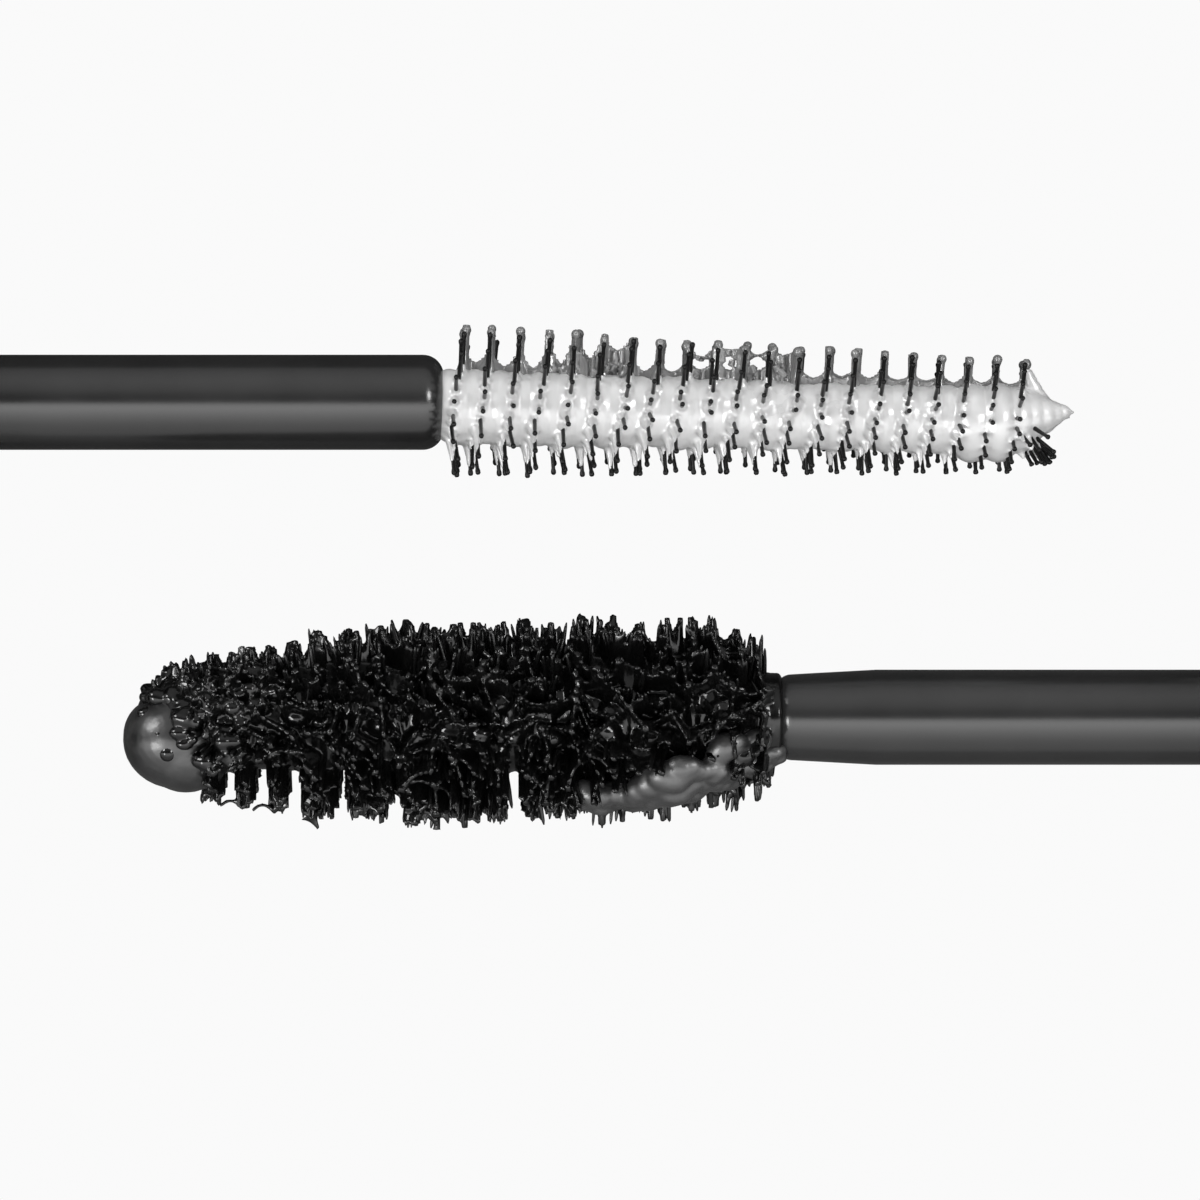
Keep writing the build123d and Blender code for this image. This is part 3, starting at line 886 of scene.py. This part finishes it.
# %% [markdown]
# Wet mascara has no edges of its own: it rounds whatever it lies on. So the mass is first laid out
# roughly, from eggs for the core, cones for the tufts and slabs for the ridges, and melted later
# in one go. It is kept as three lengths of the brush, because one mesh with pits this fine would
# have too many triangles.

# %% The wet mass, in three lengths
LENGTHS = {"root": (-0.4, 9.5), "middle": (9.5, 18.5), "tip": (18.5, 29.5)}
mass = {name: [] for name in LENGTHS}


def put(s, template, matrix):
    """Give a copy to the length of brush that it stands in."""
    for name, (low, high) in LENGTHS.items():
        if low <= s < high:
            mass[name].append((template, matrix))


def put_ball(s, r, side, long, thick, up=0.0):
    """An egg of goo, long along the brush and thick across it."""
    centre = mascara.at(s, r, side) + Vector((0, 0, up))
    put(s, *egg(drop_ball if thick > 1 else round_ball, centre, long, thick))


CORE_STEPS = 60
for share in steps(CORE_STEPS):
    s = mix(1.5, 26.0, share)
    side = 270 + random.uniform(-30, 30)
    put_ball(s, 0.35, side, 0.8, body_reach(s) * random.uniform(0.94, 1.05))
for tuft in net.values():
    for i in range(random.choice((1, 2, 2, 3))):
        s = tuft["s"] + random.gauss(0, 0.13)
        side = tuft["side"] + random.gauss(0, 1.8)
        if gap_at(s, side, spare=0.1):
            continue
        foot_r = body_reach(s) * 0.75
        length = tuft["reach"] * random.uniform(0.9, 1.0) - foot_r
        wide = random.uniform(0.17, 0.34) * (1.15 if 225 < side % 360 < 315 else 1)
        put(s, tuft_cone, aim(mascara.at(s, foot_r, side), tuft["direction"], length, wide,
                              wide * random.uniform(0.45, 0.9), random.uniform(0, math.pi)))
print("core and tufts:", {name: len(found) for name, found in mass.items()})

# %% Ridges between neighbouring tufts
RIDGE_STEPS = 6
RIDGE_SPAN = 1.9
RIDGE_TURN = 30
RIDGE_THICK = 0.17


def put_ridge(first, second, fill):
    """A sagging film from tuft to tuft, in slabs that the melt joins."""
    away = (second["side"] - first["side"] + 180) % 360 - 180
    if abs(second["s"] - first["s"]) > RIDGE_SPAN or abs(away) > RIDGE_TURN:
        return
    for t in steps(RIDGE_STEPS + 1):
        s = mix(first["s"], second["s"], t)
        side = (first["side"] + away * t) % 360
        if gap_at(s, side, spare=0.08):
            continue
        sag = mix(0.97, fill, 1 - abs(2 * t - 1) ** 1.6)
        outer = mix(first["reach"], second["reach"], t) * sag
        inner = body_reach(s) * 0.7
        roll = math.atan2(math.radians(away) * 3.8, second["s"] - first["s"])
        put(s, web_slab, aim(mascara.at(s, inner, side), mascara.out(side), outer - inner, 0.3,
                             RIDGE_THICK, roll))


for (row, k), tuft in net.items():
    clogged = 0.5 if 230 < tuft["side"] < 310 else 0.42
    for other in ((row, (k + 1) % TUFTS_ROUND), (row + 1, k), (row + 1, (k - 1) % TUFTS_ROUND)):
        if other in net and random.random() < clogged:
            put_ridge(tuft, net[other], random.uniform(0.7, 0.86))
print("with ridges:", {name: len(found) for name, found in mass.items()})

# %% Notches and lumps
NOTCH_ROOT = 1.7
LUMPS = 210
for place, width in FAR_GAPS:  # each far gap narrows to a notch at its foot
    for side in (262, 267, 272, 277):
        for step in range(-4, 5):
            s = place + step / 4 * (width / 2 + 0.2)
            outer = bullet(s) * mix(0.66, 0.93, abs(step) / 4)
            foot = mascara.at(s, NOTCH_ROOT, side)
            put(s, web_slab, aim(foot, mascara.out(side), outer - NOTCH_ROOT, 0.22, 0.2))
for i in range(LUMPS):
    s, side = random.uniform(1.5, 22.0), random.uniform(0, 360)
    size = random.uniform(0.4, 0.75)
    if not gap_at(s, side, spare=size * 0.9):
        put_ball(s, random.uniform(2.3, 2.8) - 0.2 * far_side(side), side, size, size * 0.75)
print("with notches and lumps:", sum(len(found) for found in mass.values()))

# %% [markdown]
# A drawn brush leaves the bottle tip last, so the spare mascara hangs there as one big smooth
# drop, and more of it lies in folds by the stem. Both are smoother than the mass, so they are
# pieces of their own, built from overlapping eggs and smoothed for longer. The tip's far half
# stays rough, and thin threads still close three of the wiped gaps.

# %% The drop at the tip
MASCARA_DROP = (  # (along, out, side, long, thick, up)
    (26.0, 0.4, 85, 2.35, 2.15, 0.25), (25.6, 1.0, 75, 1.9, 1.75, 0.3),
    (26.9, 0.2, 100, 1.45, 1.6, 0.1), (24.9, 1.5, 80, 1.1, 1.1, 0.35),
    (26.6, 1.35, 75, 0.8, 0.75, 0.3), (25.2, 1.75, 60, 0.7, 0.7, 0.3),
    (27.4, 0.8, 20, 0.5, 0.6, 0.35), (27.1, 0.9, 140, 0.6, 0.7, 0.2),
    (26.2, 1.5, 115, 0.7, 0.75, 0.1),
)
drop_copies = []
for s, r, side, long, thick, up in MASCARA_DROP:
    centre = mascara.at(s, r, side) + Vector((0, 0, up))
    drop_copies.append(egg(drop_ball, centre, long, thick))
print("eggs in the drop:", len(drop_copies))

# %% The rough half of the tip, and the threads
TIP_LUMPS = 150
TIP_TUFTS = 26
for i in range(TIP_LUMPS):
    s = random.uniform(22.5, 27.3)
    side = random.uniform(205, 395)
    reach = mix(2.65, 1.75, max(0, (s - 24.6) / 2.7))
    size = random.uniform(0.22, 0.5)
    put_ball(s, reach * random.uniform(0.86, 1.06), side, size, size * random.uniform(0.6, 1.0))
for s, r, up in ((24.3, 2.2, 0.0), (25.3, 2.15, 0.0), (26.1, 1.9, 0.0), (26.8, 1.5, 0.0)):
    put_ball(s, 0.45, 270, 1.0, r, up)
for i in range(TIP_TUFTS):
    s = random.uniform(24.4, 26.8)
    side = random.uniform(240, 300)
    reach = mix(3.35, 2.5, max(0, (s - 25.4) / 1.4)) * random.uniform(0.9, 1.0)
    lean = mascara.out(side) + mascara.along * random.uniform(0.0, 0.35)
    put(s, tuft_cone, aim(mascara.at(s, 1.2, side), lean.normalized(), reach - 1.2,
                          random.uniform(0.25, 0.4), 0.25, random.uniform(0, math.pi)))
# thin threads that close three of the wiped gaps, and one hanging hair
THREAD_STEPS = 13
for place, width in ((23.7, 0.9), (22.3, 0.9), (16.7, 0.8)):
    for t in steps(THREAD_STEPS):
        s = place + (t - 0.5) * width
        put_ball(s, bullet(s) * mix(0.93, 0.86, 1 - (2 * t - 1) ** 2), 88, 0.1, 0.09)
hair = (mascara.out(90) - mascara.along * 0.55).normalized()
HAIR_AT = 20.3
put(HAIR_AT, wet_cone, aim(mascara.at(HAIR_AT, bullet(HAIR_AT) * 0.9, 90), hair, 0.75, 0.5))
print("with the tip:", sum(len(found) for found in mass.values()))

# %% The folds and the collar by the stem
LONG_FOLD = 54
SHORT_FOLD = 30
COLLAR_STEPS = 10
FOLD_FLAT = 0.8
fold_copies = []
for t in steps(LONG_FOLD):
    s = mix(8.3, -0.1, t)
    side = mix(66, 52, t) + 12 * math.sin(t * 9)
    r = mix(3.5, 1.9, max(0, t - 0.55) / 0.45) + 0.1 * math.sin(t * 31)
    size = 0.42 + 0.2 * math.sin(math.pi * min(1, t * 1.4)) + 0.1 * math.sin(t * 17 + 1)
    for away in (-9, 7):
        out_by = r + random.uniform(-0.12, 0.1)
        place = mascara.at(s, out_by, side + away * random.uniform(0.6, 1.4))
        fold_copies.append(egg(round_ball, place, size * 1.25, size, size * FOLD_FLAT))
for t in steps(SHORT_FOLD):
    s = mix(4.2, 0.8, t)
    side = mix(66, 14, t) + 10 * math.sin(t * 8)
    r = mix(3.4, 2.3, t)
    size = 0.5 + 0.12 * math.sin(t * 13)
    fold_copies.append(egg(round_ball, mascara.at(s, r, side), size * 1.2, size, size * FOLD_FLAT))
for t in steps(COLLAR_STEPS):
    put_ball(mix(-0.1, 1.7, t), 0, 0, 0.45, 1.95 + 0.6 * t * t)
print("eggs in the folds:", len(fold_copies))

# %% [markdown]
# Now everything melts. A voxel remesh turns the pile of closed shapes into one skin, smoothing
# rounds it, and a decimate keeps it under its limit of triangles. Wet mascara is nearly black and
# mirrors like varnish, so its shape is read from sharp sparks. The drop and the folds are a little
# duller, because thick mascara dries on its skin first.

# %% Melting the mass
mascara_wet = finish("mascara_wet", (0.003, 0.003, 0.003), 0.13, 0.08, 0.3, 0.00003,
                     effect_values={"Size": 1300.0}, swing=0.3, smudge_size=500.0, ior=1.36)
fold_wet = finish("mascara_fold", (0.022, 0.022, 0.022), 0.36, 0.1, 0.8, 0.00006,
                  effect_values={"Size": 700.0}, swing=0.5, smudge_size=700.0, coat=0.5,
                  coat_rough=0.4)
for name, copies in mass.items():
    goo = lay_out(f"mascara_mass_{name}", copies)
    melt(goo, 0.072, 4)
    replaced = ["mascara_coat"] if name == "middle" else []
    settle(goo, mascara_wet, "mascara_wand", replaced)
drop = lay_out("mascara_drop", drop_copies)
melt(drop, 0.08, 12)
drop_wet = finish("mascara_drop", (0.012, 0.012, 0.012), 0.33, 0.08, 0.9, 0.0001,
                  effect_values={"Size": 420.0}, swing=0.6, smudge_size=600.0, coat=0.15,
                  coat_rough=0.3)
settle(drop, drop_wet, "mascara_wand")
fold = lay_out("mascara_folds", fold_copies)
melt(fold, 0.07, 18)
settle(fold, fold_wet, "mascara_wand")

# %% [markdown]
# The ends of the nylon fibres stand out of the mass, fine and nearly dry. Hair curves could show
# them, but they have to be solid in the model, so each is a small five-sided pin, two to a tuft,
# with its foot inside the mass.

# %% The fibre ends
FIBRES_PER_TUFT = 2
copies = []
for tuft in net.values():
    for i in range(FIBRES_PER_TUFT):
        side = tuft["side"] + random.gauss(0, 2.4)
        s = tuft["s"] + random.gauss(0, 0.16)
        if gap_at(s, side % 360):
            continue
        stray = Vector([random.gauss(0, 0.05) for _ in range(3)])
        direction = (tuft["direction"] + stray).normalized()
        foot_r = body_reach(s) * 0.85
        reach = tuft["reach"] * random.uniform(0.92, 1.0)
        if in_fold(s, side % 360):
            reach = min(reach, 3.4)
        copies.append((fibre_pin, aim(mascara.at(s, foot_r, side), direction, reach - foot_r,
                                      random.uniform(0.1, 0.15))))
fibres = lay_out("mascara_fibres", copies)
fibre_black = finish("fibre_black", (0.004, 0.004, 0.004), 0.25, 0.1, 0.2, 0.000004, ior=1.4)
settle(fibres, fibre_black, "mascara_wand", ["mascara_bristles"])

# %% [markdown]
# Small bright lamps off to the sides give wet mascara its sparks. They are set to be seen only in
# reflections, so they don't change how the pale floor and the primer are lit, and the stems, which
# face only up and across, don't mirror them.

# %% Sparkle lamps
SPARKS = ((40, -14), (-38, 12), (-54, -30))  # turns about Y and about X, in degrees
SPARK_WIDE = 18
SPARK_ENERGY = 1.7
for i, (about_y, about_x) in enumerate(SPARKS):
    bpy.ops.object.light_add(type="SUN", location=(0, 0, 0.3),
                             rotation=(math.radians(about_x), math.radians(about_y), 0))
    spark = bpy.context.object
    spark.name = f"spark_{i + 1}"
    spark.data.energy = SPARK_ENERGY
    spark.data.angle = math.radians(SPARK_WIDE)
    spark.visible_diffuse = False
print("sparkle lamps:", len(SPARKS))

# %% [markdown]
# A pale room also sends light at the far side of the row. This soft lamp stands in for it. It is
# seen by diffuse surfaces only, so it lifts the white primer and leaves the black stems alone.

# %% Fill lamp
FILL_TURN = -72
FILL_WIDE = 40
FILL_ENERGY = 2.4
bpy.ops.object.light_add(type="SUN", location=(0, 0.3, 0.3),
                         rotation=(math.radians(FILL_TURN), 0, 0))
fill = bpy.context.object
fill.name = "far_fill"
fill.data.energy = FILL_ENERGY
fill.data.angle = math.radians(FILL_WIDE)
fill.visible_glossy = False
print("fill lamp:", FILL_ENERGY)

# %% [markdown]
# The cream in each bottle isn't a clean block: the wand keeps a hollow down its middle, its edge
# stands a little up the wall, and it sinks towards the hollow where the brush was drawn out. Each
# filling starts as a cylinder at the size of its CAD node. Its mouth end is inset ring by ring,
# each ring moved to follow that funnel, its floor end is inset once, and the two innermost faces
# are bridged into the hollow.


# %% The filling of each bottle
FILLING_SLACK = 0.02
BRUSH_ROOM = 0.98
FLOOR_ROOM = 1.6
FUNNEL = (-0.35, -0.2, -0.1, -0.15, -0.25, -0.45)  # how far each ring sinks


def filling(name, body, mouthward, material):
    """Replace a bottle's plain formula; mouthward is +1 or -1, the way its mouth faces on X."""
    low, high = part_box(name)
    low, high = Vector(low) / MM, Vector(high) / MM
    middle = (low + high) / 2
    radius = (high.y - low.y) / 2 - FILLING_SLACK
    solid = np.array([v.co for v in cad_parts[name].data.vertices]) / MM
    hollow = float(np.hypot(solid[:, 1] - middle.y, solid[:, 2] - middle.z).min()) + BRUSH_ROOM
    bpy.ops.object.select_all(action="DESELECT")
    bpy.ops.mesh.primitive_cylinder_add(vertices=64, radius=radius,
                                        depth=high.x - low.x - FLOOR_ROOM, location=middle,
                                        rotation=(0, math.radians(90), 0))
    cream = bpy.context.object
    cream.name = name.replace("formula", "filling")
    bpy.ops.object.transform_apply(location=True, rotation=True)
    start_edit(cream)
    step = (radius - hollow) / len(FUNNEL)
    for rise in FUNNEL:
        pick(cream, lambda f: f.normal.x * mouthward > 0.9 and len(f.verts) > 8)
        bpy.ops.mesh.inset(thickness=step)
        bpy.ops.transform.translate(value=(mouthward * rise, 0, 0))
    pick(cream, lambda f: f.normal.x * mouthward < -0.9 and len(f.verts) > 8)
    bpy.ops.mesh.inset(thickness=radius - hollow)
    pick(cream, lambda f: abs(f.normal.x) > 0.9 and len(f.verts) > 8)
    bpy.ops.mesh.bridge_edge_loops()
    bpy.ops.mesh.select_all(action="SELECT")
    bpy.ops.mesh.normals_make_consistent(inside=False)
    bpy.ops.object.mode_set(mode="OBJECT")
    print(f"{name}: radius {radius:.2f}, hollow {hollow:.2f} mm")
    run_modifier(cream, "BEVEL", width=0.15, segments=2, limit_method="ANGLE")
    settle(cream, material, body, [name])


filling("primer_formula", "primer_half", -1, cream_white)
filling("mascara_formula", "mascara_half", 1, mascara_wet)
